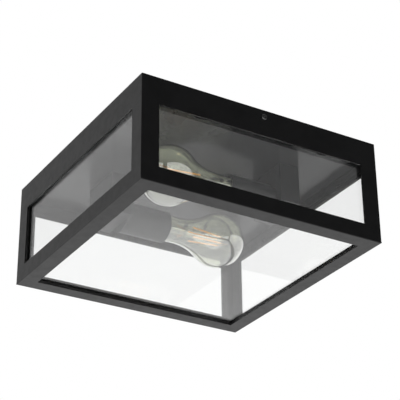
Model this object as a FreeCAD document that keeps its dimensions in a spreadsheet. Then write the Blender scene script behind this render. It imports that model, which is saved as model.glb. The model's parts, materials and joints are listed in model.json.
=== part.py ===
import FreeCAD, Part
import math
import os
import re
import Sketcher

# A square porch ceiling lantern: a shallow sheet-steel tray fixed under the ceiling, a glazed cage
# that pushes up round the tray and is held by two side screws, and two screw-in lamps lying side by
# side, head to tail. Millimetres. The origin is the centre of the ceiling plane, +Z is up, and the
# front, with one of the side screws, faces -Y.

Vector = FreeCAD.Vector
UP = Vector(0, 0, 1)
DIRECTIONS = {"x": Vector(1, 0, 0), "y": Vector(0, 1, 0), "z": UP}

doc = FreeCAD.newDocument("lantern")
sheet = doc.addObject("Spreadsheet::Sheet", "dims")

DIMENSIONS = {
    # cage, seen from outside
    "cage_width": 290,
    "cage_height": 120,
    "cage_sheet": 1.5,
    "cage_bend": 0.8,
    "post_leg": 20,
    "top_rail_height": 31,
    "bottom_rail_height": 18,
    "bottom_flange": 18,
    # glazing
    "glass_thick": 3,
    "gasket_thick": 1.5,
    "gasket_setback": 0.5,
    "glass_edge_gap": 1.5,
    "glass_corner_gap": 0.5,
    "glass_top_lap": 5,
    "seat_gap": 0.3,
    "bead_leg": 9,
    "bead_sheet": 1.2,
    "clip_sheet": 1,
    "clip_width": 12,
    "clip_base": 4,
    "clip_tongue": 4.5,
    "clip_spacing": 150,
    # ceiling tray
    "tray_gap": 4,
    "tray_depth": 16,
    "tray_sheet": 1.2,
    "tray_bend": 1.6,
    "tray_lip": 10,
    "seal_thick": 1.5,
    # mounting bar and its screws
    "bar_length": 160,
    "bar_width": 24,
    "bar_thick": 2,
    "bar_corner": 4,
    "bar_slot_spacing": 120,
    "bar_slot_length": 20,
    "bar_slot_width": 5.5,
    "bar_screw_spacing": 60,
    "bar_screw_radius": 2,
    "bar_screw_head_radius": 4,
    "bar_screw_head": 2.6,
    "bar_screw_recess_radius": 1.5,
    "spacer_radius": 4,
    "clearance_hole": 0.3,
    "thread_gap": 0.05,
    # side screws that hold the cage
    "side_screw_drop": 9,
    "side_screw_radius": 2,
    "side_screw_head_radius": 3.2,
    "side_screw_head": 1.9,
    "side_screw_recess_radius": 1.4,
    "side_screw_recess": 1.3,
    "side_screw_tip_gap": 0.3,
    "side_nut_width": 7,
    "side_nut_thick": 3.2,
    "dimple_radius": 2.2,
    "dimple_depth": 0.5,
    # lamp and holder axes
    "axis_drop": 51.5,
    "axis_offset": 54,
    "mouth_offset": 6.5,
    # lamp
    "globe_radius": 32,
    "neck_radius": 15,
    "neck_curve": 65,
    "glass_length": 101.5,
    "glass_wall": 1,
    "shoulder_radius": 2.5,
    "cap_radius": 13.1,
    "cap_wall": 0.6,
    "cap_length": 21,
    "cap_skirt": 3.5,
    "thread_pitch": 3.63,
    "thread_rings": 4,
    "thread_depth": 0.65,
    "insulator_length": 3.4,
    "insulator_tip_radius": 5,
    "contact_radius": 4.5,
    "contact_length": 1.4,
    "stem_radius": 3,
    "stem_length": 27,
    "stem_flare_length": 12,
    "stem_rod_radius": 1.3,
    "filament_radius": 0.95,
    "filament_length": 38,
    "filament_start": 35,
    "filament_spread": 8.5,
    "filament_close": 5.5,
    "filament_count": 4,
    "wire_radius": 0.35,
    # lampholder
    "sleeve_radius": 18,
    "sleeve_reach": 55.5,
    "sleeve_wall": 3.4,
    "sleeve_floor": 3,
    "chamber_step": 2,
    "mouth_wall": 1.2,
    "mouth_depth": 3.5,
    "shell_gap": 0.5,
    "shell_wall": 0.7,
    "shell_length": 22,
    "insert_thick": 5,
    "tongue_width": 5,
    "tongue_sheet": 0.5,
    "tongue_rise": 9,
    "tongue_gap": 0.4,
    "nipple_radius": 5,
    "nipple_wall": 1.4,
    "nipple_rise": 1.5,
    "nipple_nut_width": 14,
    "nipple_nut_thick": 3,
    # housing behind each holder
    "box_length": 24.5,
    "box_width": 54,
    "box_below_axis": 9.5,
    "box_sheet": 1,
    "box_tab_length": 10,
    "box_tab_width": 13,
    "small_screw_radius": 1.5,
    "small_screw_head_radius": 2.6,
    "small_screw_head": 1.7,
    "small_screw_length": 7,
    "box_screw_inset": 6,
    # wiring
    "block_length": 30,
    "block_width": 17,
    "block_height": 12,
    "block_offset": 40,
    "block_poles": 3,
    "block_pitch": 9.5,
    "block_entry_radius": 1.9,
    "block_entry_height": 5,
    "block_well_radius": 2.2,
    "block_well_depth": 5,
    "block_well_inset": 4.2,
    "block_screw_gap": 0.2,
    "block_screw_height": 3.5,
    "driver_slot_width": 0.7,
    "driver_slot_depth": 0.9,
    "lead_radius": 1.5,
    "lead_insert": 4,
    "lead_crest": 4.4,
    "lead_drop_inset": 7.5,
    "grommet_hole_radius": 5,
    "grommet_flange": 1.5,
    "grommet_lip": 1.2,
    "earth_x": -45,
    "earth_y": -45,
    "earth_radius": 2,
    "earth_height": 9,
    "earth_nut_width": 7,
    "earth_nut_thick": 3.2,
    "earth_washer_radius": 4.5,
    "earth_washer_thick": 0.8,
}

# Worked out from the driving dimensions.
DERIVED = {
    "half_width": "cage_width / 2",
    "post_edge": "half_width - post_leg",
    "sheet_inside": "half_width - cage_sheet",
    "glass_outer": "sheet_inside - gasket_thick",
    "glass_inner": "glass_outer - glass_thick",
    "glass_half": "glass_inner - glass_corner_gap",
    "window_top": "top_rail_height",
    "window_bottom": "cage_height - bottom_rail_height",
    "pane_top": "window_top - glass_top_lap",
    "floor_gasket": "cage_height - cage_sheet",
    "floor_glass": "floor_gasket - gasket_thick",
    "floor_top": "floor_glass - glass_thick",
    "pane_foot": "floor_top - seat_gap",
    "bead_outer": "glass_inner - seat_gap",
    "tray_half": "sheet_inside - tray_gap",
    "tray_floor": "tray_depth - tray_sheet",
    "lip_under": "seal_thick + tray_sheet",
    "lip_inner": "tray_half - tray_lip",
    "tip_reach": "tray_half + side_screw_tip_gap",
    "neck_start": "sqrt((globe_radius + neck_curve)^2 - (neck_radius + neck_curve)^2)",
    "globe_back": "glass_length - globe_radius",
    "flare_radius": "neck_radius - glass_wall - shoulder_radius",
    "hub_reach": "filament_start + filament_length + 3 * wire_radius",
    "cap_start": "shoulder_radius",
    "cap_end": "cap_start + cap_length",
    "contact_start": "cap_end + insulator_length",
    "contact_end": "contact_start + contact_length",
    "sleeve_bore": "sleeve_radius - sleeve_wall",
    "shell_inner": "cap_radius + shell_gap",
    "tongue_front": "contact_end + tongue_gap",
    "insert_front": "tongue_front + 2 * tongue_sheet + 1",
    "insert_back": "insert_front + insert_thick",
    "box_back": "sleeve_reach + box_length",
    "box_inside": "sleeve_reach + box_sheet",
    "nut_seat": "box_inside + nipple_nut_thick",
    "box_top": "axis_drop - tray_depth",
    "drop_x": "box_back - box_sheet - lead_drop_inset",
}

for row, (name, value) in enumerate(DIMENSIONS.items(), 1):
    sheet.set(f"A{row}", name)
    sheet.set(f"B{row}", str(value))
    sheet.setAlias(f"B{row}", name)
ALIASES = sorted([*DIMENSIONS, *DERIVED], key=len, reverse=True)
WORD = re.compile(r"\b(" + "|".join(ALIASES) + r")\b")
for row, (name, formula) in enumerate(DERIVED.items(), 1):
    sheet.set(f"D{row}", name)
    sheet.set(f"E{row}", "=" + formula)
    sheet.setAlias(f"E{row}", name)
doc.recompute()


def size(name):
    """The value of one named size, in millimetres."""
    return float(getattr(sheet, name))


def expression(text):
    """A formula in the names of the sizes, as an expression on the sheet."""
    return WORD.sub(r"dims.\1", str(text))


def bind(item, prop, text):
    item.setExpression(prop, expression(text))


def place(item, angle=0, at=("0", "0", "0")):
    """Turns an item about +Z and ties its position to the sheet."""
    item.Placement = FreeCAD.Placement(Vector(), FreeCAD.Rotation(UP, angle))
    for axis, text in zip("xyz", at):
        bind(item, f"Placement.Base.{axis}", text)
    return item


def box(name, x, y, z):
    """A block between three pairs of formulas."""
    item = doc.addObject("Part::Box", name)
    for prop, axis, (low, high) in zip(("Length", "Width", "Height"), "xyz", (x, y, z)):
        bind(item, prop, f"({high}) - ({low})")
        bind(item, f"Placement.Base.{axis}", low)
    return item


def rod(name, radius, span, axis="z", centre=("0", "0")):
    """A cylinder along an axis; centre gives its place on the two other axes, in X, Y, Z order."""
    item = doc.addObject("Part::Cylinder", name)
    low, high = span
    bind(item, "Radius", radius)
    bind(item, "Height", f"({high}) - ({low})")
    item.Placement = FreeCAD.Placement(Vector(), FreeCAD.Rotation(UP, DIRECTIONS[axis]))
    others = iter(centre)
    for letter in "xyz":
        bind(item, f"Placement.Base.{letter}", low if letter == axis else next(others))
    return item


def fuse(name, *items):
    item = doc.addObject("Part::MultiFuse", name)
    item.Shapes = list(items)
    return item


def cut(name, base, *tools):
    item = doc.addObject("Part::Cut", name)
    item.Base = base
    item.Tool = tools[0] if len(tools) == 1 else fuse(name + "_tools", *tools)
    return item


def tube(name, outer, inner, span, axis="z", centre=("0", "0")):
    return cut(
        name,
        rod(name + "_outside", outer, span, axis, centre),
        rod(name + "_inside", inner, span, axis, centre),
    )


def group(name, items):
    """Identical pieces that share one node, as separate solids."""
    item = doc.addObject("Part::Compound", name)
    item.Links = list(items)
    return item


def copy_of(name, source, angle=0, at=("0", "0", "0")):
    """Another of the same piece, turned about +Z and moved."""
    holder = doc.addObject("Part::Compound", name)
    holder.Links = [source]
    return place(holder, angle, at)


def round_edges(name, base, radius, wanted):
    """Rounds the edges of base that wanted(edge) picks."""
    doc.recompute()
    item = doc.addObject("Part::Fillet", name)
    item.Base = base
    value = size(radius)
    item.Edges = [(i, value, value) for i, edge in enumerate(base.Shape.Edges, 1) if wanted(edge)]
    return item


def solid(name, shape):
    """A piece whose shape is made with Part's own functions."""
    item = doc.addObject("Part::Feature", name)
    item.Shape = shape
    return item


def new_body(name):
    return doc.addObject("PartDesign::Body", name)


def new_sketch(body, name):
    """A sketch on the body's own XY plane."""
    sketch = body.newObject("Sketcher::SketchObject", name)
    plane = next(f for f in body.Origin.OriginFeatures if f.Role == "XY_Plane")
    sketch.AttachmentSupport = [(plane, "")]
    sketch.MapMode = "FlatFace"
    return sketch


def outline(sketch, corners):
    """A closed outline of straight lines, every corner tied to the sheet."""
    count = len(corners)
    for i in range(count):
        start, end = (math.tau * k / count for k in (i, i + 1))
        first = Vector(math.cos(start), math.sin(start), 0)
        second = Vector(math.cos(end), math.sin(end), 0)
        sketch.addGeometry(Part.LineSegment(first, second), False)
    base = sketch.GeometryCount - count
    for i in range(count):
        following = base + (i + 1) % count
        sketch.addConstraint(Sketcher.Constraint("Coincident", base + i, 2, following, 1))
    for i, corner in enumerate(corners):
        for kind, text in zip(("DistanceX", "DistanceY"), corner):
            fix_distance(sketch, kind, base + i, text)


def fix_distance(sketch, kind, line, text):
    """Ties one coordinate of a line's start to a formula."""
    index = sketch.addConstraint(Sketcher.Constraint(kind, -1, 1, line, 1, 1.0))
    sketch.setExpression(f"Constraints[{index}]", expression(text))


def rectangle(half_x, half_y, centre_x="0", centre_y="0"):
    signs = ((-1, -1), (1, -1), (1, 1), (-1, 1))
    return [(f"{centre_x} + ({i}) * ({half_x})", f"{centre_y} + ({j}) * ({half_y})") for i, j in signs]


def pad(body, name, corners, low, high):
    """Pads a closed outline between two heights."""
    sketch = new_sketch(body, name + "_outline")
    outline(sketch, corners)
    bind(sketch, "AttachmentOffset.Base.z", low)
    feature = body.newObject("PartDesign::Pad", name)
    feature.Profile = sketch
    bind(feature, "Length", f"({high}) - ({low})")
    return feature


NODES = []


def node(item, label):
    item.Label = label
    NODES.append(item)
    return item


# Cage: four corner angles, four top strips and four bottom angles with mitred flanges, all welded.

SIDES = (("front", 0), ("right", 90), ("back", 180), ("left", 270))


def corner_post(label, angle):
    body = new_body("body_" + label)
    corners = [
        ("-half_width", "-half_width"),
        ("-post_edge", "-half_width"),
        ("-post_edge", "-sheet_inside"),
        ("-sheet_inside", "-sheet_inside"),
        ("-sheet_inside", "-post_edge"),
        ("-half_width", "-post_edge"),
    ]
    leg = pad(body, label + "_angle", corners, "-floor_gasket", "0")
    doc.recompute()
    bend = body.newObject("PartDesign::Fillet", label + "_bend")
    bend.Base = (leg, [outer_corner(leg.Shape)])
    bind(bend, "Radius", "cage_bend")
    body.Tip = bend
    node(place(body, angle), label)


def outer_corner(shape):
    """The name of the upright edge on the cage's outer corner."""
    half = size("half_width")
    for i, edge in enumerate(shape.Edges, 1):
        centre = edge.CenterOfMass
        if max(abs(centre.x + half), abs(centre.y + half)) < 1e-6:
            return f"Edge{i}"
    raise ValueError("the post has no outer corner")


def top_rail(label, angle):
    strip = box(
        label + "_strip",
        ("-post_edge", "post_edge"),
        ("-half_width", "-sheet_inside"),
        ("-top_rail_height", "0"),
    )
    if angle % 180 == 0:
        hole = rod(
            label + "_screw_hole",
            "side_screw_radius + clearance_hole",
            ("-half_width - 1", "-sheet_inside + 1"),
            "y",
            ("0", "-side_screw_drop"),
        )
        strip = cut(label + "_drilled", strip, hole)
    node(place(group(label, [strip]), angle), label)


def bottom_rail(label, angle):
    leg = box(
        label + "_leg",
        ("-post_edge", "post_edge"),
        ("-half_width", "-sheet_inside"),
        ("-cage_height", "-window_bottom"),
    )
    flange = doc.addObject("Part::Wedge", label + "_flange")
    inner = "half_width - bottom_flange"
    for prop, text in {
        "Xmin": "-half_width",
        "Xmax": "half_width",
        "Ymin": "-half_width",
        "Ymax": f"-({inner})",
        "Zmin": "-cage_height",
        "Zmax": "-floor_gasket",
        "X2min": f"-({inner})",
        "X2max": inner,
        "Z2min": "-cage_height",
        "Z2max": "-floor_gasket",
    }.items():
        bind(flange, prop, text)
    angle_bar = fuse(label + "_angle", leg, flange)
    angle_bar.Refine = True
    half, height = size("half_width"), size("cage_height")

    def bent(edge):
        centre = edge.CenterOfMass
        return abs(centre.y + half) < 1e-6 and abs(centre.z + height) < 1e-6

    node(place(round_edges(label, angle_bar, "cage_bend", bent), angle), label)


# Glazing: four side panes and a floor pane, each on a gasket, held by beads below and clips above.


def side_pane(label, angle):
    pane = box(
        label + "_sheet",
        ("-glass_half", "glass_half"),
        ("-glass_outer", "-glass_inner"),
        ("-pane_foot", "-pane_top"),
    )
    node(place(group(label, [pane]), angle), label)


def side_gaskets(label):
    ring = cut(
        label + "_ring",
        box(
            label + "_sheet",
            ("-glass_half", "glass_half"),
            ("-sheet_inside", "-glass_outer"),
            ("-floor_top", "-pane_top"),
        ),
        box(
            label + "_window",
            ("-post_edge - gasket_setback", "post_edge + gasket_setback"),
            ("-sheet_inside - 1", "-glass_outer + 1"),
            ("-window_bottom - gasket_setback", "-window_top + gasket_setback"),
        ),
    )
    node(group(label, [copy_of(f"{label}_{side}", ring, angle) for side, angle in SIDES]), label)


def floor_glazing():
    edge = "sheet_inside - glass_edge_gap"
    opening = "half_width - bottom_flange + gasket_setback"
    gasket = cut(
        "bottom_gasket_ring",
        box("bottom_gasket_sheet", (f"-({edge})", edge), (f"-({edge})", edge), ("-floor_gasket", "-floor_glass")),
        box(
            "bottom_gasket_opening",
            (f"-({opening})", opening),
            (f"-({opening})", opening),
            ("-floor_gasket - 1", "-floor_glass + 1"),
        ),
    )
    node(gasket, "bottom_gasket")
    pane = box("bottom_pane_sheet", (f"-({edge})", edge), (f"-({edge})", edge), ("-floor_glass", "-floor_top"))
    node(pane, "bottom_pane")


def glazing_beads(label):
    beads = []
    for side, angle in SIDES:
        reach = "glass_half - seat_gap" if angle % 180 == 0 else "bead_outer - bead_leg - seat_gap"
        name = f"{label}_{side}"
        bead = fuse(
            name,
            box(
                name + "_upright",
                (f"-({reach})", reach),
                ("-bead_outer", "-bead_outer + bead_sheet"),
                ("-pane_foot", "-pane_foot + bead_leg"),
            ),
            box(
                name + "_foot",
                (f"-({reach})", reach),
                ("-bead_outer", "-bead_outer + bead_leg"),
                ("-pane_foot", "-pane_foot + bead_sheet"),
            ),
        )
        beads.append(place(bead, angle))
    node(group(label, beads), label)


def glass_clips(label):
    """Z-shaped clips spot-welded inside the top strips, their tongues behind the panes' top edges."""
    over = "-pane_top + seat_gap"
    tongue = "-glass_inner + seat_gap"
    clips = []
    for side, angle in SIDES:
        for hand in (-1, 1):
            name = f"{label}_{side}_{'left' if hand < 0 else 'right'}"
            centre = f"({hand}) * clip_spacing / 2"
            width = (f"{centre} - clip_width / 2", f"{centre} + clip_width / 2")
            clip = fuse(
                name,
                box(name + "_base", width, ("-sheet_inside", "-sheet_inside + clip_sheet"), (over, f"{over} + clip_base")),
                box(name + "_web", width, ("-sheet_inside", f"{tongue} + clip_sheet"), (over, f"{over} + clip_sheet")),
                box(
                    name + "_tongue",
                    width,
                    (tongue, f"{tongue} + clip_sheet"),
                    (f"{over} - clip_tongue", f"{over} + clip_sheet"),
                ),
            )
            clips.append(place(clip, angle))
    node(group(label, clips), label)


def side_nuts(label):
    """Square weld nuts behind the holes of the front and back strips."""
    half = "side_nut_width / 2"
    nut = cut(
        label + "_nut",
        box(
            label + "_block",
            (f"-{half}", half),
            ("-sheet_inside", "-sheet_inside + side_nut_thick"),
            (f"-side_screw_drop - {half}", f"-side_screw_drop + {half}"),
        ),
        rod(
            label + "_thread",
            "side_screw_radius + thread_gap",
            ("-sheet_inside - 1", "-sheet_inside + side_nut_thick + 1"),
            "y",
            ("0", "-side_screw_drop"),
        ),
    )
    node(group(label, [copy_of(f"{label}_{angle}", nut, angle) for angle in (0, 180)]), label)


def side_screw(label, angle):
    """A round-headed socket screw; its tip stands just clear of the dimple in the tray."""
    centre = ("0", "-side_screw_drop")
    seat = "-half_width - thread_gap"
    crown = f"{seat} - side_screw_head"
    head = round_edges(
        label + "_head",
        rod(label + "_head_blank", "side_screw_head_radius", (crown, seat), "y", centre),
        "cage_bend",
        lambda edge: edge.CenterOfMass.y < -size("half_width") - size("side_screw_head") / 2,
    )
    screw = cut(
        label + "_cut",
        fuse(label + "_blank", head, rod(label + "_shank", "side_screw_radius", (seat, "-tip_reach"), "y", centre)),
        rod(
            label + "_socket",
            "side_screw_recess_radius",
            (f"{crown} - 1", f"{crown} + side_screw_recess"),
            "y",
            centre,
        ),
    )
    node(place(group(label, [screw]), angle), label)


# Ceiling tray, its seal and its fixings. Lamp a lies in front of the middle and b behind it.

LAMP_SIDES = (("a", 1), ("b", -1))


def drop_point(side):
    """Where a holder's lead passes through the tray, for side +1 or -1."""
    return f"({side}) * (mouth_offset + drop_x)", f"({-side}) * axis_offset"


def tray_holes():
    span = ("-tray_depth - 1", "-tray_floor + 1")
    holes = []
    for side in (1, -1):
        x, y = drop_point(side)
        holes.append(rod(f"tray_lead_hole_{side}", "grommet_hole_radius", span, "z", (x, y)))
        bar_x = f"({side}) * bar_screw_spacing / 2"
        holes.append(rod(f"tray_bar_hole_{side}", "bar_screw_radius + clearance_hole", span, "z", (bar_x, "0")))
        for end in (1, -1):
            place_x, place_y = box_screw_point(side, end)
            name = f"tray_box_hole_{side}_{end}"
            holes.append(rod(name, "small_screw_radius + clearance_hole", span, "z", (place_x, place_y)))
        dimple = doc.addObject("Part::Sphere", f"tray_dimple_{side}")
        bind(dimple, "Radius", "dimple_radius")
        bind(dimple, "Placement.Base.y", f"({side}) * (tray_half + dimple_radius - dimple_depth)")
        bind(dimple, "Placement.Base.z", "-side_screw_drop")
        holes.append(dimple)
    holes.append(rod("tray_earth_hole", "earth_radius", span, "z", ("earth_x", "earth_y")))
    return holes


def ceiling_tray():
    half = ("-tray_half", "tray_half")
    inside = ("-tray_half + tray_sheet", "tray_half - tray_sheet")
    lip = ("-lip_inner", "lip_inner")
    blank = box("tray_blank", half, half, ("-tray_depth", "-seal_thick"))
    depth = size("tray_depth")
    bent = round_edges("tray_bent", blank, "tray_bend", lambda edge: abs(edge.CenterOfMass.z + depth) < 1e-6)
    tray = cut(
        "tray",
        bent,
        box("tray_cavity", inside, inside, ("-tray_floor", "-lip_under")),
        box("tray_mouth", lip, lip, ("-lip_under - 1", "0")),
        *tray_holes(),
    )
    node(tray, "ceiling_tray")
    seal = cut(
        "ceiling_seal_ring",
        box("ceiling_seal_sheet", half, half, ("-seal_thick", "0")),
        box("ceiling_seal_opening", lip, lip, ("-seal_thick - 1", "1")),
    )
    node(seal, "ceiling_seal")


def mounting_bar():
    """A flat bar against the ceiling, slotted for two ceiling screws and tapped for two bar screws."""
    body = new_body("body_mounting_bar")
    pad(body, "bar_blank", rectangle("bar_length / 2", "bar_width / 2"), "-bar_thick", "0")
    straight = "(bar_slot_length - bar_slot_width) / 2"
    cutters = []
    for side in (-1, 1):
        centre = f"({side}) * bar_slot_spacing / 2"
        ends = (f"{centre} - {straight}", f"{centre} + {straight}")
        span = ("-bar_thick - 1", "1")
        half = ("-bar_slot_width / 2", "bar_slot_width / 2")
        cutters.append(box(f"bar_slot_{side}", ends, half, span))
        for end, x in enumerate(ends):
            cutters.append(rod(f"bar_slot_end_{side}_{end}", "bar_slot_width / 2", span, "z", (x, "0")))
        screw_x = f"({side}) * bar_screw_spacing / 2"
        cutters.append(rod(f"bar_thread_{side}", "bar_screw_radius + thread_gap", span, "z", (screw_x, "0")))
    blank = cut("bar_cut", body, *cutters)

    def upright_corner(edge):
        box_size = edge.BoundBox
        return box_size.ZLength > 1 and abs(abs(edge.CenterOfMass.x) - size("bar_length") / 2) < 1e-6

    node(round_edges("bar", blank, "bar_corner", upright_corner), "mounting_bar")


def bar_fixings():
    spacers, screws = [], []
    for side in (-1, 1):
        centre = (f"({side}) * bar_screw_spacing / 2", "0")
        bore = "bar_screw_radius + clearance_hole"
        spacers.append(tube(f"spacer_{side}", "spacer_radius", bore, ("-tray_floor", "-bar_thick"), "z", centre))
        name = f"bar_screw_{side}"
        head_low = "-tray_depth - bar_screw_head"
        head = round_edges(
            name + "_head",
            rod(name + "_head_blank", "bar_screw_head_radius", (head_low, "-tray_depth"), "z", centre),
            "cage_bend",
            lambda edge: edge.CenterOfMass.z < -size("tray_depth") - size("bar_screw_head") / 2,
        )
        shank = rod(name + "_shank", "bar_screw_radius", ("-tray_depth", "-bar_thick / 4"), "z", centre)
        recess = rod(
            name + "_recess",
            "bar_screw_recess_radius",
            (f"{head_low} - 1", f"{head_low} + bar_screw_head / 2"),
            "z",
            centre,
        )
        screws.append(cut(name, fuse(name + "_blank", head, shank), recess))
    node(group("bar_spacers", spacers), "bar_spacers")
    node(group("bar_screws", screws), "bar_screws")


# Wiring in the tray.


def pole_points():
    """X of each pole of the terminal block, as formulas."""
    count = int(size("block_poles"))
    return [f"({i} - (block_poles - 1) / 2) * block_pitch" for i in range(count)]


def terminal_block():
    half_x, half_y = "block_length / 2", "block_width / 2"
    low, high = "-tray_floor", "-tray_floor + block_height"
    front, back = f"block_offset - {half_y}", f"block_offset + {half_y}"
    blank = box("block_blank", (f"-{half_x}", half_x), (front, back), (low, high))
    cutters, screws = [], []
    for i, x in enumerate(pole_points()):
        entry = (x, f"{low} + block_entry_height")
        cutters.append(rod(f"block_entry_{i}", "block_entry_radius", (f"{front} - 1", f"{back} + 1"), "y", entry))
        for end, y in (("front", f"{front} + block_well_inset"), ("back", f"{back} - block_well_inset")):
            name = f"block_{end}_{i}"
            well_low = f"{high} - block_well_depth"
            cutters.append(rod(name + "_well", "block_well_radius", (well_low, f"{high} + 1"), "z", (x, y)))
            top = f"{well_low} + block_screw_height"
            screw = cut(
                name + "_screw",
                rod(name + "_screw_blank", "block_well_radius - block_screw_gap", (well_low, top), "z", (x, y)),
                box(
                    name + "_slot",
                    (f"{x} - block_well_radius", f"{x} + block_well_radius"),
                    (f"{y} - driver_slot_width / 2", f"{y} + driver_slot_width / 2"),
                    (f"{top} - driver_slot_depth", f"{top} + 1"),
                ),
            )
            screws.append(screw)
    node(cut("block", blank, *cutters), "terminal_block")
    node(group("terminal_screws", screws), "terminal_screws")


def earth_terminal():
    """A stud through the tray with a washer and a hexagon nut."""
    centre = ("earth_x", "earth_y")
    washer_top = "-tray_floor + earth_washer_thick"
    nut_top = f"{washer_top} + earth_nut_thick"
    stud = rod("earth_stud", "earth_radius", ("-tray_depth", "-tray_floor + earth_height"), "z", centre)
    hole = "earth_radius + thread_gap"
    washer = tube("earth_washer", "earth_washer_radius", hole, ("-tray_floor", washer_top), "z", centre)
    hexagon = doc.addObject("Part::Prism", "earth_hexagon")
    hexagon.Polygon = 6
    bind(hexagon, "Circumradius", "earth_nut_width / sqrt(3)")
    bind(hexagon, "Height", "earth_nut_thick")
    for axis, text in zip("xyz", (*centre, washer_top)):
        bind(hexagon, f"Placement.Base.{axis}", text)
    nut = cut("earth_nut", hexagon, rod("earth_nut_thread", hole, (washer_top, nut_top), "z", centre))
    node(group("earth_terminal", [stud, washer, nut]), "earth_terminal")


def lead_grommets():
    grommets = []
    bore = "lead_radius + clearance_hole"
    below, above = "-tray_depth - grommet_lip", "-tray_floor + grommet_lip"
    flange = "grommet_hole_radius + grommet_flange"
    for side in (1, -1):
        centre = drop_point(side)
        name = f"grommet_{side}"
        waist = rod(name + "_waist", "grommet_hole_radius", (below, above), "z", centre)
        lower = rod(name + "_lower", flange, (below, "-tray_depth"), "z", centre)
        upper = rod(name + "_upper", flange, ("-tray_floor", above), "z", centre)
        hole = rod(name + "_bore", bore, (f"{below} - 1", f"{above} + 1"), "z", centre)
        grommets.append(cut(name, fuse(name + "_blank", waist, lower, upper), hole))
    node(group("lead_grommets", grommets), "lead_grommets")


def rounded_path(points):
    """Straight runs joined by tangent arcs, each as large as its two runs allow."""
    edges, start, radii = [], points[0], []
    for before, corner, after in zip(points, points[1:], points[2:]):
        back, ahead = before - corner, after - corner
        shorter = min(back.Length, ahead.Length)
        back.normalize()
        ahead.normalize()
        half_turn = (math.pi - back.getAngle(ahead)) / 2
        reach = 0.45 * shorter
        radii.append(reach / math.tan(half_turn))
        entry, leave = corner + back * reach, corner + ahead * reach
        inward = (back + ahead).normalize()
        centre = corner + inward * (radii[-1] / math.cos(half_turn))
        middle = centre - inward * radii[-1]
        edges.append(Part.LineSegment(start, entry).toShape())
        edges.append(Part.Arc(entry, middle, leave).toShape())
        start = leave
    edges.append(Part.LineSegment(start, points[-1]).toShape())
    return Part.Wire(edges), radii


def lead(label, route):
    """A sleeved two-core lead of round section along its real route."""
    path, radii = rounded_path(route)
    radius = size("lead_radius")
    start = route[0]
    ring = Part.Wire([Part.Circle(start, route[1] - start, radius).toShape()])
    shape = path.makePipeShell([ring], True, False)
    section = math.pi * radius**2
    print(f"{label}: length {path.Length:.1f} mm, tightest bend {min(radii):.1f} mm, "
          f"volume over section {shape.Volume / section:.1f} mm")
    node(solid(label, shape), label)


# Each lead's bends between the terminal block and the grommet: those by the block are measured from
# the middle of the block's side, away from it, and those by the grommet from the drop point.
LEAD_BENDS = {
    1: (((0, 17.5, 0), (6.5, 45.5, 1.8)), ((-34, 16, -1.6), (-19.5, 7, 0))),
    -1: (((0, 9.5, 0), (14.5, 21.5, 1.8)), ((-32, 16, -1.6), (-20, 6.5, 0))),
}


def leads():
    """From the terminal block over the tray, down through each grommet and the nipple to the insert."""
    entry_z = -size("tray_floor") + size("block_entry_height")
    crest_z = -size("lead_crest")
    drop_x = size("mouth_offset") + size("drop_x")
    end_x = size("mouth_offset") + size("insert_back") - size("lead_insert")
    axis_y, axis_z = size("axis_offset"), -size("axis_drop")
    for letter, side in LAMP_SIDES:
        pole = side * size("block_pitch")
        wall = size("block_offset") - side * size("block_width") / 2
        by_block, by_drop = LEAD_BENDS[side]
        route = [Vector(pole, wall + side * size("lead_insert"), entry_z)]
        for x, y, z in by_block:
            route.append(Vector(pole + side * x, wall - side * y, entry_z + z))
        for x, y, z in by_drop:
            route.append(Vector(side * (drop_x + x), -side * axis_y + y, crest_z + z))
        route.append(Vector(side * drop_x, -side * axis_y, crest_z))
        route.append(Vector(side * drop_x, -side * axis_y, axis_z))
        route.append(Vector(side * end_x, -side * axis_y, axis_z))
        lead(f"lead_{letter}", route)


# Lampholders and their housings. Each is drawn with its mouth at the origin, opening towards -X.
# Side a lies in front and points to the left; side b is the same turned half a turn about +Z.

def at_side(item, side):
    angle = 0 if side == 1 else 180
    at = (f"({side}) * mouth_offset", f"({-side}) * axis_offset", "-axis_drop")
    return place(item, angle, at)


def box_screw_point(side, end):
    """Where a screw holds a housing to the tray, for one of its two ends."""
    x = f"({side}) * (mouth_offset + sleeve_reach + box_length / 2)"
    y = f"({-side}) * axis_offset + ({end}) * (box_width / 2 - box_screw_inset)"
    return x, y


def holder_box(letter, side):
    """A folded housing, open against the tray, with two tabs folded in at its top."""
    name = f"holder_box_{letter}"
    half = "box_width / 2"
    outer = box(
        name + "_blank",
        ("sleeve_reach", "box_back"),
        (f"-{half}", half),
        ("-box_below_axis", "box_top"),
    )
    cavity = box(
        name + "_cavity",
        ("box_inside", "box_back - box_sheet"),
        (f"-{half} + box_sheet", f"{half} - box_sheet"),
        ("-box_below_axis + box_sheet", "box_top + 1"),
    )
    shell = cut(name + "_shell", outer, cavity)
    middle = "sleeve_reach + box_length / 2"
    tabs, holes = [], []
    for end in (1, -1):
        inner, edge = f"({end}) * ({half} - box_tab_length)", f"({end}) * ({half} - box_sheet / 2)"
        span = (inner, edge) if end == 1 else (edge, inner)
        tabs.append(
            box(
                f"{name}_tab_{end}",
                (f"{middle} - box_tab_width / 2", f"{middle} + box_tab_width / 2"),
                span,
                ("box_top - box_sheet", "box_top"),
            )
        )
        hole_at = (middle, f"({end}) * ({half} - box_screw_inset)")
        hole_span = ("box_top - box_sheet - 1", "box_top + 1")
        holes.append(rod(f"{name}_tab_hole_{end}", "small_screw_radius + thread_gap", hole_span, "z", hole_at))
    wall_span = ("sleeve_reach - 1", "box_inside + 1")
    holes.append(rod(name + "_nipple_hole", "nipple_radius + clearance_hole", wall_span, "x"))
    folded = cut(name, fuse(name + "_folded", shell, *tabs), *holes)
    node(at_side(folded, side), name)


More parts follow.
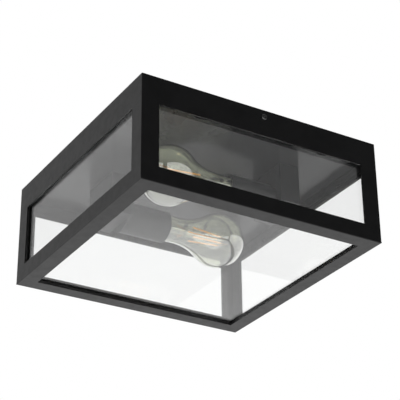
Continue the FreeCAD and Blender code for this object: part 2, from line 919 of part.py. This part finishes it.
def holder_sleeve(letter, side):
    """The holder's insulating body: a round sleeve with a wiring chamber behind the insert's seat."""
    name = f"holder_sleeve_{letter}"
    barrel = rod(name + "_barrel", "sleeve_radius", ("0", "sleeve_reach"), "x")
    rounded = round_edges(
        name + "_rounded",
        barrel,
        "cage_bend",
        lambda edge: edge.Closed and abs(edge.CenterOfMass.x) < 1e-6,
    )
    cutters = [
        rod(name + "_mouth", "sleeve_radius - mouth_wall", ("-1", "mouth_depth"), "x"),
        rod(name + "_bore", "sleeve_bore", ("-1", "insert_back"), "x"),
        rod(name + "_chamber", "sleeve_bore - chamber_step", ("-1", "sleeve_reach - sleeve_floor"), "x"),
        rod(name + "_nipple_hole", "nipple_radius + thread_gap", ("-1", "sleeve_reach + 1"), "x"),
    ]
    node(at_side(cut(name, rounded, *cutters), side), name)


def holder_fixings():
    """A threaded nipple through each sleeve's floor and the housing's wall, and the nut on it."""
    nipples, nuts = [], []
    for letter, side in LAMP_SIDES:
        span = ("sleeve_reach - sleeve_floor - nipple_rise", "nut_seat + nipple_rise")
        nipple = tube(f"holder_nipple_{letter}", "nipple_radius", "nipple_radius - nipple_wall", span, "x")
        nipples.append(at_side(nipple, side))
        hexagon = doc.addObject("Part::Prism", f"holder_nut_{letter}_hexagon")
        hexagon.Polygon = 6
        bind(hexagon, "Circumradius", "nipple_nut_width / sqrt(3)")
        bind(hexagon, "Height", "nipple_nut_thick")
        hexagon.Placement = FreeCAD.Placement(Vector(), FreeCAD.Rotation(UP, DIRECTIONS["x"]))
        bind(hexagon, "Placement.Base.x", "box_inside")
        thread = rod(f"holder_nut_{letter}_thread", "nipple_radius + thread_gap", ("box_inside", "nut_seat"), "x")
        nuts.append(at_side(cut(f"holder_nut_{letter}", hexagon, thread), side))
    node(group("holder_nipples", nipples), "holder_nipples")
    node(group("holder_nuts", nuts), "holder_nuts")


def holder_insides():
    shells, inserts, tongues = [], [], []
    for letter, side in LAMP_SIDES:
        outer = "shell_inner + shell_wall"
        shell_start = "insert_front - shell_length"
        shell = tube(f"holder_shell_{letter}", outer, "shell_inner", (shell_start, "insert_front"), "x")
        shells.append(at_side(shell, side))
        insert = tube(
            f"holder_insert_{letter}",
            "sleeve_bore - seat_gap",
            "lead_radius + clearance_hole",
            ("insert_front", "insert_back"),
            "x",
        )
        inserts.append(at_side(insert, side))
        half = "tongue_width / 2"
        name = f"holder_tongue_{letter}"
        bent = fuse(
            name,
            box(
                name + "_front",
                ("tongue_front", "tongue_front + tongue_sheet"),
                (f"-{half}", half),
                ("-tongue_width / 2", "tongue_rise"),
            ),
            box(
                name + "_foot",
                ("tongue_front", "insert_front"),
                (f"-{half}", half),
                ("tongue_rise - tongue_sheet", "tongue_rise"),
            ),
        )
        tongues.append(at_side(bent, side))
    node(group("holder_shells", shells), "holder_shells")
    node(group("holder_inserts", inserts), "holder_inserts")
    node(group("holder_tongues", tongues), "holder_tongues")


def box_screws():
    screws = []
    for letter, side in LAMP_SIDES:
        for end in (1, -1):
            at = box_screw_point(side, end)
            label = f"box_screw_{letter}_{end}"
            top = "-tray_floor + small_screw_head"
            head = rod(label + "_head", "small_screw_head_radius", ("-tray_floor", top), "z", at)
            shank = rod(label + "_shank", "small_screw_radius", ("-tray_floor - small_screw_length", "-tray_floor"), "z", at)
            screws.append(fuse(label, head, shank))
    node(group("box_screws", screws), "box_screws")


# Lamps: clear glass, screw cap and upright filament sticks, drawn with the same origin as a holder.


def bulb_profile(inset):
    """The glass's outline from its tip to the cap, drawn inwards by inset, as edges in the XY plane."""
    globe = size("globe_radius") - inset
    curve = size("neck_curve") + inset
    neck = size("neck_radius") - inset
    centre_x = -size("globe_back")
    neck_x = centre_x + size("neck_start")
    shoulder = size("shoulder_radius")
    share = globe / (globe + curve)
    blend = Vector(centre_x + size("neck_start") * share, (neck + curve) * share, 0)
    blend_angle = math.atan2(blend.y, blend.x - centre_x)
    half_angle = (math.pi + blend_angle) / 2
    tip = Vector(centre_x - globe, 0, 0)
    crown = Vector(centre_x + globe * math.cos(half_angle), globe * math.sin(half_angle), 0)
    hollow = Vector(neck_x, neck + curve, 0)
    sag_angle = (math.atan2(blend.y - hollow.y, blend.x - hollow.x) - math.pi / 2) / 2
    sag = Vector(hollow.x + curve * math.cos(sag_angle), hollow.y + curve * math.sin(sag_angle), 0)
    neck_start = Vector(neck_x, neck, 0)
    neck_end = Vector(0, neck, 0)
    turn = math.pi / 4
    bend = Vector(shoulder * math.sin(turn), neck - shoulder + shoulder * math.cos(turn), 0)
    rim = Vector(shoulder, neck - shoulder, 0)
    return [
        Part.Arc(tip, crown, blend).toShape(),
        Part.Arc(blend, sag, neck_start).toShape(),
        Part.LineSegment(neck_start, neck_end).toShape(),
        Part.Arc(neck_end, bend, rim).toShape(),
    ]


def lamp_envelope(letter, side):
    wall = size("glass_wall")
    outside = bulb_profile(0)
    inside = bulb_profile(wall)
    first_out, first_in = outside[0].Vertexes[0].Point, inside[0].Vertexes[0].Point
    last_out, last_in = outside[-1].Vertexes[-1].Point, inside[-1].Vertexes[-1].Point
    ends = [Part.LineSegment(last_out, last_in).toShape(), Part.LineSegment(first_in, first_out).toShape()]
    face = Part.Face(Part.Wire(Part.__sortEdges__([*outside, *inside, *ends])))
    shape = face.revolve(Vector(0, 0, 0), Vector(1, 0, 0), 360)
    name = f"lamp_{letter}_envelope"
    node(at_side(solid(name, shape), side), name)


def lamp_cap(letter, side):
    """The threaded cap, its glass insulator and its centre contact."""
    name = f"lamp_{letter}_cap"
    root = "cap_radius - thread_depth"
    barrel = rod(name + "_barrel", root, ("cap_start", "cap_end"), "x")
    skirt = rod(name + "_skirt", "cap_radius", ("cap_start", "cap_start + cap_skirt"), "x")
    rings = []
    for i in range(int(size("thread_rings"))):
        ring = doc.addObject("Part::Torus", f"{name}_ring_{i}")
        bind(ring, "Radius1", root)
        bind(ring, "Radius2", "thread_depth")
        ring.Placement = FreeCAD.Placement(Vector(), FreeCAD.Rotation(UP, DIRECTIONS["x"]))
        bind(ring, "Placement.Base.x", f"cap_start + cap_skirt + thread_pitch * ({i} + 0.6)")
        rings.append(ring)
    hollow = rod(name + "_hollow", f"{root} - cap_wall", ("cap_start - 1", "cap_end + 1"), "x")
    node(at_side(cut(name, fuse(name + "_blank", barrel, skirt, *rings), hollow), side), name)

    plug = doc.addObject("Part::Cone", f"lamp_{letter}_plug")
    bind(plug, "Radius1", f"{root} - cap_wall")
    bind(plug, "Radius2", "insulator_tip_radius")
    bind(plug, "Height", "insulator_length + cap_wall")
    plug.Placement = FreeCAD.Placement(Vector(), FreeCAD.Rotation(UP, DIRECTIONS["x"]))
    bind(plug, "Placement.Base.x", "cap_end - cap_wall")
    node(at_side(group(f"lamp_{letter}_insulator_part", [plug]), side), f"lamp_{letter}_insulator")

    contact = rod(f"lamp_{letter}_contact_disc", "contact_radius", ("contact_start", "contact_end"), "x")
    node(at_side(group(f"lamp_{letter}_contact_part", [contact]), side), f"lamp_{letter}_contact")


def filament_ends():
    """Both ends of each filament stick, in the lamp's own frame."""
    count = int(size("filament_count"))
    near, far = -size("filament_start"), -size("filament_start") - size("filament_length")
    ends = []
    for i in range(count):
        turn = math.tau * (i + 0.5) / count
        direction = Vector(0, math.cos(turn), math.sin(turn))
        near_end = Vector(near, 0, 0) + direction * size("filament_spread")
        far_end = Vector(far, 0, 0) + direction * size("filament_close")
        ends.append((near_end, far_end))
    return ends


def stick(start, end, radius):
    return Part.makeCylinder(radius, (end - start).Length, start, end - start)


def lamp_insides(letter, side):
    """The stem that rises from the cap, the filament sticks and the wires that carry them."""
    name = f"lamp_{letter}_stem"
    flare = doc.addObject("Part::Cone", name + "_flare")
    bind(flare, "Radius1", "flare_radius")
    bind(flare, "Radius2", "stem_radius")
    bind(flare, "Height", "stem_flare_length")
    flare.Placement = FreeCAD.Placement(Vector(), FreeCAD.Rotation(UP, -DIRECTIONS["x"]))
    bind(flare, "Placement.Base.x", "cap_start")
    column = rod(name + "_column", "stem_radius", ("-stem_length", "0"), "x")
    rod_end = "-hub_reach + wire_radius / 2"
    upright = rod(name + "_upright", "stem_rod_radius", (rod_end, "-stem_length"), "x")
    node(at_side(fuse(name, flare, column, upright), side), name)

    ends = filament_ends()
    sticks = [stick(near, far, size("filament_radius")) for near, far in ends]
    name = f"lamp_{letter}_filaments"
    node(at_side(solid(name, Part.makeCompound(sticks)), side), name)

    wire = size("wire_radius")
    foot = Vector(-size("stem_length"), 0, 0)
    hub = Vector(-size("hub_reach"), 0, 0)
    wires = []
    for near, far in ends:
        outward = Vector(0, near.y, near.z).normalize()
        wires.append(stick(foot + outward * size("stem_radius") * 0.6, near, wire))
        wires.append(stick(far, hub, wire))
    name = f"lamp_{letter}_wires"
    stem_end = Part.makeCylinder(size("stem_radius"), size("stem_length"), foot, DIRECTIONS["x"])
    tip = hub + Vector(wire / 2, 0, 0)
    upright_end = Part.makeCylinder(size("stem_rod_radius"), size("stem_length"), tip, DIRECTIONS["x"])
    bare = wires[0].multiFuse(wires[1:]).cut([*sticks, stem_end, upright_end])
    node(at_side(solid(name, bare), side), name)


def build_cage():
    for number, (_, angle) in enumerate(SIDES, 1):
        corner_post(f"corner_post_{number}", angle)
    for side, angle in SIDES:
        top_rail("top_rail_" + side, angle)
        bottom_rail("bottom_rail_" + side, angle)
        side_pane("side_pane_" + side, angle)
    side_gaskets("side_gaskets")
    floor_glazing()
    glazing_beads("glazing_beads")
    glass_clips("glass_clips")
    side_nuts("side_nuts")
    for side, angle in (("front", 0), ("back", 180)):
        side_screw("side_screw_" + side, angle)


def build_tray():
    ceiling_tray()
    mounting_bar()
    bar_fixings()
    terminal_block()
    earth_terminal()
    lead_grommets()
    leads()
    box_screws()
    for letter, side in LAMP_SIDES:
        holder_box(letter, side)
        holder_sleeve(letter, side)
    holder_insides()
    holder_fixings()


def build_lamps():
    for letter, side in LAMP_SIDES:
        lamp_envelope(letter, side)
        lamp_cap(letter, side)
        lamp_insides(letter, side)


def check_and_write():
    doc.recompute()
    for item in doc.Objects:
        if {"Invalid", "Error"} & set(item.State):
            raise RuntimeError(f"{item.Label} did not recompute: {item.State}")
    os.makedirs("parts", exist_ok=True)
    for item in NODES:
        shape = item.Shape
        if shape.isNull() or not shape.isValid():
            raise RuntimeError(f"{item.Label} has no valid shape")
        shape.exportStep(f"parts/{item.Label}.step")
    print(f"{len(NODES)} sub-parts written")


build_cage()
build_tray()
build_lamps()
check_and_write()
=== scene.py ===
import json
import math

import bpy
from mathutils import Matrix, Vector

# A square porch ceiling lantern, seen from below. Metres, in the part's own frame: the origin is
# the centre of the ceiling plane, +Z is up and the front faces -Y.

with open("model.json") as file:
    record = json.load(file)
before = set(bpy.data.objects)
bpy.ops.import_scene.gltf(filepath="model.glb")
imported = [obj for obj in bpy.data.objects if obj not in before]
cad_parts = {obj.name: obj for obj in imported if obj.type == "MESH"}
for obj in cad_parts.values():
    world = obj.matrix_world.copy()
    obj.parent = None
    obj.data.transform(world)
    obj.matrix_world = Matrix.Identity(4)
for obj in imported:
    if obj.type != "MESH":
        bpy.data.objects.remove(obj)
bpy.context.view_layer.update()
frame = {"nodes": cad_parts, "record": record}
NODES = frame["nodes"]

# Camera: its place, its heading, pitch and roll in degrees, and its focal length in pixels of an
# image 400 pixels wide.
CAMERA_PLACE = (-0.69688, -1.16579, -0.74639)
CAMERA_HEADING = 58.81
CAMERA_PITCH = 27.45
CAMERA_ROLL = -0.58
FOCAL_PIXELS = 1374
IMAGE_PIXELS = 400
SENSOR_WIDTH = 36
FAR_CLIP = 20

# The floor lies well below the lantern. This share of it is plain white to the eye, and the rest
# keeps the lantern's shadow.
FLOOR_DROP = 2.4
FLOOR_HALF_WIDTH = 6.0
FLOOR_COLOUR = (0.82, 0.82, 0.82)
FLOOR_ROUGHNESS = 0.8
FLOOR_WHITE = 0.7


def make_camera():
    data = bpy.data.cameras.new("camera")
    data.sensor_width = SENSOR_WIDTH
    data.lens = FOCAL_PIXELS / IMAGE_PIXELS * data.sensor_width
    data.clip_end = FAR_CLIP
    camera = bpy.data.objects.new("camera", data)
    bpy.context.scene.collection.objects.link(camera)
    heading, pitch, roll = (math.radians(a) for a in (CAMERA_HEADING, CAMERA_PITCH, CAMERA_ROLL))
    ahead = Vector(
        (math.cos(heading) * math.cos(pitch), math.sin(heading) * math.cos(pitch), math.sin(pitch))
    )
    level = Vector((math.sin(heading), -math.cos(heading), 0))
    upright = level.cross(ahead)
    right = level * math.cos(roll) + upright * math.sin(roll)
    up = upright * math.cos(roll) - level * math.sin(roll)
    turn = Matrix((right, up, -ahead)).transposed().to_4x4()
    camera.matrix_world = Matrix.Translation(CAMERA_PLACE) @ turn
    bpy.context.scene.camera = camera


# Shader helpers.

NOISE_ROUGHNESS = 0.55


class Shader:
    """A material with one Principled shader and the few nodes that give it its detail."""

    def __init__(self, name, colour, roughness, metallic=0.0, **constants):
        self.material = bpy.data.materials.new(name)
        self.material.use_nodes = True
        self.tree = self.material.node_tree
        self.tree.nodes.clear()
        self.output = self.add("ShaderNodeOutputMaterial")
        self.surface = self.add("ShaderNodeBsdfPrincipled")
        self.link(self.surface.outputs[0], self.output.inputs["Surface"])
        self.set("Base Color", (*colour, 1))
        self.set("Roughness", roughness)
        self.set("Metallic", metallic)
        for key, value in constants.items():
            self.set(key.replace("_", " "), value)
        self.place = self.add("ShaderNodeTexCoord").outputs["Object"]
        self.normal = None

    def add(self, kind, **settings):
        node = self.tree.nodes.new(kind)
        for key, value in settings.items():
            setattr(node, key, value)
        return node

    def link(self, source, target):
        self.tree.links.new(source, target)

    def set(self, socket, value):
        self.surface.inputs[socket].default_value = value

    def stretched(self, scale):
        """The object's coordinates, scaled along each axis."""
        mapping = self.add("ShaderNodeMapping")
        mapping.inputs["Scale"].default_value = scale
        self.link(self.place, mapping.inputs["Vector"])
        return mapping.outputs[0]

    def noise(self, scale, detail, stretch=None):
        node = self.add("ShaderNodeTexNoise")
        node.inputs["Scale"].default_value = scale
        node.inputs["Detail"].default_value = detail
        node.inputs["Roughness"].default_value = NOISE_ROUGHNESS
        self.link(self.stretched(stretch) if stretch else self.place, node.inputs["Vector"])
        return node.outputs["Fac"]

    def vary_roughness(self, value, low, high):
        """Maps a noise's middle values onto a range of roughness."""
        node = self.add("ShaderNodeMapRange")
        limits = {"From Min": 0.3, "From Max": 0.7, "To Min": low, "To Max": high}
        for key, number in limits.items():
            node.inputs[key].default_value = number
        self.link(value, node.inputs["Value"])
        self.link(node.outputs[0], self.surface.inputs["Roughness"])

    def vary_colour(self, value, first, second):
        """Blends two colours over a noise's middle values."""
        node = self.add("ShaderNodeValToRGB")
        node.color_ramp.elements[0].position = 0.35
        node.color_ramp.elements[1].position = 0.65
        node.color_ramp.elements[0].color = (*first, 1)
        node.color_ramp.elements[1].color = (*second, 1)
        self.link(value, node.inputs["Fac"])
        self.link(node.outputs["Color"], self.surface.inputs["Base Color"])

    def relief(self, height, depth, strength=1.0):
        """Adds relief of a real depth in metres."""
        node = self.add("ShaderNodeBump")
        node.inputs["Strength"].default_value = strength
        node.inputs["Distance"].default_value = depth
        self.link(height, node.inputs["Height"])
        if self.normal is not None:
            self.link(self.normal, node.inputs["Normal"])
        self.normal = node.outputs[0]
        self.link(self.normal, self.surface.inputs["Normal"])

    def let_lamps_through(self, tint):
        """Clear glass that the lamps' rays pass, so that what is behind it is lit."""
        path = self.add("ShaderNodeLightPath")
        clear = self.add("ShaderNodeBsdfTransparent")
        clear.inputs["Color"].default_value = (*tint, 1)
        mix = self.add("ShaderNodeMixShader")
        self.link(path.outputs["Is Shadow Ray"], mix.inputs["Fac"])
        self.link(self.surface.outputs[0], mix.inputs[1])
        self.link(clear.outputs[0], mix.inputs[2])
        self.link(mix.outputs[0], self.output.inputs["Surface"])


# Refractive indices.
PAINT_IOR = 1.42
GLASS_IOR = 1.5
LAMP_COAT_IOR = 2.2


def powder_coat(name, colour, second, roughness, uneven, depth):
    """Baked powder paint with a fine orange peel, slightly uneven in colour and gloss."""
    paint = Shader(name, colour, roughness, IOR=PAINT_IOR)
    paint.vary_colour(paint.noise(35, 4), colour, second)
    paint.vary_roughness(paint.noise(120, 3), roughness - uneven, roughness + uneven)
    paint.relief(paint.noise(650, 2), depth, 0.5)
    return paint.material


def clear_glass(name, tint, through, **constants):
    """Clear glass: its own tint, and the tint that it gives the lamps' light."""
    glass = Shader(name, tint, 0.0, Transmission_Weight=1.0, IOR=GLASS_IOR, **constants)
    glass.let_lamps_through(through)
    return glass.material


def plated_steel(name, colour, second, roughness):
    """Plated steel with faint rolling lines and blotches of the plating."""
    steel = Shader(name, colour, roughness, metallic=1.0)
    steel.vary_colour(steel.noise(180, 4), colour, second)
    lines = steel.noise(1, 3, stretch=(90, 2600, 2600))
    steel.vary_roughness(lines, roughness - 0.08, roughness + 0.12)
    steel.relief(lines, 0.00002, 0.4)
    return steel.material


def moulded(name, colour, second, roughness, grain=1500, depth=0.00003, **constants):
    """Moulded plastic or rubber with a fine grain."""
    plastic = Shader(name, colour, roughness, **constants)
    plastic.vary_colour(plastic.noise(90, 4), colour, second)
    plastic.vary_roughness(plastic.noise(400, 3), roughness - 0.06, roughness + 0.06)
    plastic.relief(plastic.noise(grain, 2), depth, 0.6)
    return plastic.material


def make_materials():
    """One material for each slot of the record."""
    bright_coat = {"Coat_Weight": 1.0, "Coat_IOR": LAMP_COAT_IOR, "Coat_Roughness": 0.0}
    # Painted glow: the phosphor of the unlit filaments gets a faint orange emission that brightens
    # it, though it is no lamp.
    painted_glow = {"Emission_Color": (1.0, 0.45, 0.08, 1), "Emission_Strength": 0.35}
    return {
        "cage_paint": powder_coat(
            "cage_paint", (0.006, 0.006, 0.0065), (0.009, 0.009, 0.0095), 0.36, 0.05, 0.000016
        ),
        "tray_paint": powder_coat(
            "tray_paint", (0.022, 0.022, 0.023), (0.027, 0.027, 0.028), 0.26, 0.012, 0.000001
        ),
        "box_paint": powder_coat(
            "box_paint", (0.014, 0.014, 0.015), (0.018, 0.018, 0.019), 0.36, 0.02, 0.000002
        ),
        "pane_glass": clear_glass("pane_glass", (0.996, 1.0, 0.998), (0.88, 0.9, 0.89)),
        "gasket": moulded("gasket", (0.012, 0.012, 0.012), (0.018, 0.018, 0.018), 0.75),
        "seal": moulded("seal", (0.03, 0.03, 0.03), (0.06, 0.06, 0.06), 0.9, 500, 0.0003),
        "zinc": plated_steel("zinc", (0.6, 0.6, 0.58), (0.5, 0.51, 0.52), 0.32),
        "black_screw": plated_steel("black_screw", (0.14, 0.14, 0.142), (0.18, 0.18, 0.18), 0.3),
        "holder": moulded("holder", (0.02, 0.02, 0.021), (0.026, 0.026, 0.027), 0.42),
        "steatite": moulded("steatite", (0.8, 0.77, 0.7), (0.74, 0.71, 0.64), 0.55, 700),
        "brass": plated_steel("brass", (0.72, 0.5, 0.2), (0.62, 0.42, 0.16), 0.28),
        "bulb_glass": clear_glass("bulb_glass", (0.88, 0.9, 0.79), (0.9, 0.9, 0.88), **bright_coat),
        "stem_glass": clear_glass("stem_glass", (0.97, 0.98, 0.95), (0.85, 0.86, 0.86)),
        "phosphor": moulded(
            "phosphor", (0.95, 0.52, 0.12), (0.95, 0.44, 0.07), 0.45, 900, **painted_glow
        ),
        "nickel": plated_steel("nickel", (0.62, 0.6, 0.56), (0.5, 0.48, 0.45), 0.3),
        "cap_metal": plated_steel("cap_metal", (0.78, 0.77, 0.74), (0.68, 0.67, 0.65), 0.24),
        "cap_insulator": moulded("cap_insulator", (0.015, 0.015, 0.017), (0.02, 0.02, 0.022), 0.12),
        "solder": plated_steel("solder", (0.6, 0.6, 0.61), (0.52, 0.52, 0.53), 0.38),
        "block_plastic": moulded("block_plastic", (0.78, 0.78, 0.75), (0.72, 0.72, 0.69), 0.4),
        "lead_sleeve": moulded("lead_sleeve", (0.02, 0.02, 0.02), (0.028, 0.028, 0.028), 0.5),
        "grommet": moulded("grommet", (0.015, 0.015, 0.015), (0.02, 0.02, 0.02), 0.6),
    }


# Edges sharper than this stay crisp.
SHARP_ANGLE = math.radians(32)


def dress_nodes(materials):
    """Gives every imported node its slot's material, and smooth curved faces."""
    slots = {part["node"]: part["material_slot"] for part in frame["record"]["subparts"]}
    for name, item in NODES.items():
        mesh = item.data
        mesh.materials.clear()
        mesh.materials.append(materials[slots[name]])
        mesh.polygons.foreach_set("use_smooth", [True] * len(mesh.polygons))
        mesh.set_sharp_from_angle(angle=SHARP_ANGLE)


# Studio: a pale floor far below, soft lamps round the lantern and a white surround.


def make_floor():
    half = FLOOR_HALF_WIDTH
    corners = [(-half, -half), (half, -half), (half, half), (-half, half)]
    mesh = bpy.data.meshes.new("floor")
    mesh.from_pydata([(x, y, -FLOOR_DROP) for x, y in corners], [], [(0, 1, 2, 3)])
    floor = bpy.data.objects.new("floor", mesh)
    bpy.context.scene.collection.objects.link(floor)
    pale = Shader("floor", FLOOR_COLOUR, FLOOR_ROUGHNESS)
    glow = pale.add("ShaderNodeEmission")
    path = pale.add("ShaderNodeLightPath")
    mirrored = pale.add("ShaderNodeMath", operation="MAXIMUM")
    pale.link(path.outputs["Is Glossy Ray"], mirrored.inputs[0])
    pale.link(path.outputs["Is Transmission Ray"], mirrored.inputs[1])
    seen = pale.add("ShaderNodeMath", operation="MULTIPLY")
    seen.inputs[1].default_value = FLOOR_WHITE
    pale.link(path.outputs["Is Camera Ray"], seen.inputs[0])
    share = pale.add("ShaderNodeMath", operation="MAXIMUM")
    pale.link(mirrored.outputs[0], share.inputs[0])
    pale.link(seen.outputs[0], share.inputs[1])
    mix = pale.add("ShaderNodeMixShader")
    pale.link(share.outputs[0], mix.inputs["Fac"])
    pale.link(pale.surface.outputs[0], mix.inputs[1])
    pale.link(glow.outputs[0], mix.inputs[2])
    pale.link(mix.outputs[0], pale.output.inputs["Surface"])
    mesh.materials.append(pale.material)


# Brightness of the surround as gloss mirrors it: below the lantern, above it, and towards the left
# wall. Light that falls on matt surfaces is this share of it.
SURROUND_BELOW = 1.0
SURROUND_ABOVE = 0.1
SURROUND_LEFT = 0.52
SURROUND_LIGHT = 0.7
# The left wall's direction, and how squarely a direction faces it where it starts and ends.
LEFT_WALL = (-0.5, 0.85, 0.15)
WALL_START = -0.2
WALL_END = 0.95
# Half the height over which below and above blend at the horizon.
HORIZON_BLEND = 0.12
WHITE = 1.0


def make_world():
    """White to the eye and through glass; in gloss and as light, white below and darker above."""
    world = bpy.data.worlds.new("surround")
    bpy.context.scene.world = world
    world.use_nodes = True
    tree = world.node_tree
    tree.nodes.clear()

    def add(kind, *sources, **settings):
        node = tree.nodes.new(kind)
        for key, value in settings.items():
            setattr(node, key, value)
        for socket, source in zip(node.inputs, sources):
            if isinstance(source, bpy.types.NodeSocket):
                tree.links.new(source, socket)
            elif source is not None:
                socket.default_value = source
        return node

    def blend(value, start, end, first, second):
        return add("ShaderNodeMapRange", value, start, end, first, second).outputs[0]

    direction = add("ShaderNodeTexCoord").outputs["Generated"]
    height = add("ShaderNodeSeparateXYZ", direction).outputs["Z"]
    facing = add("ShaderNodeVectorMath", direction, LEFT_WALL, operation="DOT_PRODUCT")
    below = blend(height, HORIZON_BLEND, -HORIZON_BLEND, 0.0, 1.0)
    above = blend(facing.outputs["Value"], WALL_START, WALL_END, SURROUND_ABOVE, SURROUND_LEFT)
    level = blend(below, 0.0, 1.0, above, SURROUND_BELOW)
    light = add("ShaderNodeMath", level, SURROUND_LIGHT, operation="MULTIPLY").outputs[0]
    path = add("ShaderNodeLightPath").outputs
    lit = blend(path["Is Glossy Ray"], 0.0, 1.0, light, level)
    eye, glass = path["Is Camera Ray"], path["Is Transmission Ray"]
    clear = add("ShaderNodeMath", eye, glass, operation="MAXIMUM").outputs[0]
    strength = blend(clear, 0.0, 1.0, lit, WHITE)
    background = add("ShaderNodeBackground", (1, 1, 1, 1), strength)
    add("ShaderNodeOutputWorld", background.outputs[0])


# Soft boxes: name, place, side and watts. All face the lantern's middle.
SOFT_BOXES = [
    ("key", (-1.2, -1.4, -1.3), 2.4, 14),
    ("side", (-1.6, 0.8, -0.4), 2.0, 6),
    ("top", (0.6, 0.4, 1.5), 2.4, 10),
]
LANTERN_MIDDLE = (0, 0, -0.06)


def soft_box(name, place, side, watts):
    data = bpy.data.lights.new(name, "AREA")
    data.shape = "RECTANGLE"
    data.size = data.size_y = side
    data.energy = watts
    lamp = bpy.data.objects.new(name, data)
    bpy.context.scene.collection.objects.link(lamp)
    lamp.location = place
    ahead = Vector(LANTERN_MIDDLE) - Vector(place)
    lamp.rotation_euler = ahead.to_track_quat("-Z", "Y").to_euler()


make_camera()
make_world()
make_floor()
for box in SOFT_BOXES:
    soft_box(*box)
dress_nodes(make_materials())

bpy.context.scene.view_settings.view_transform = "Standard"
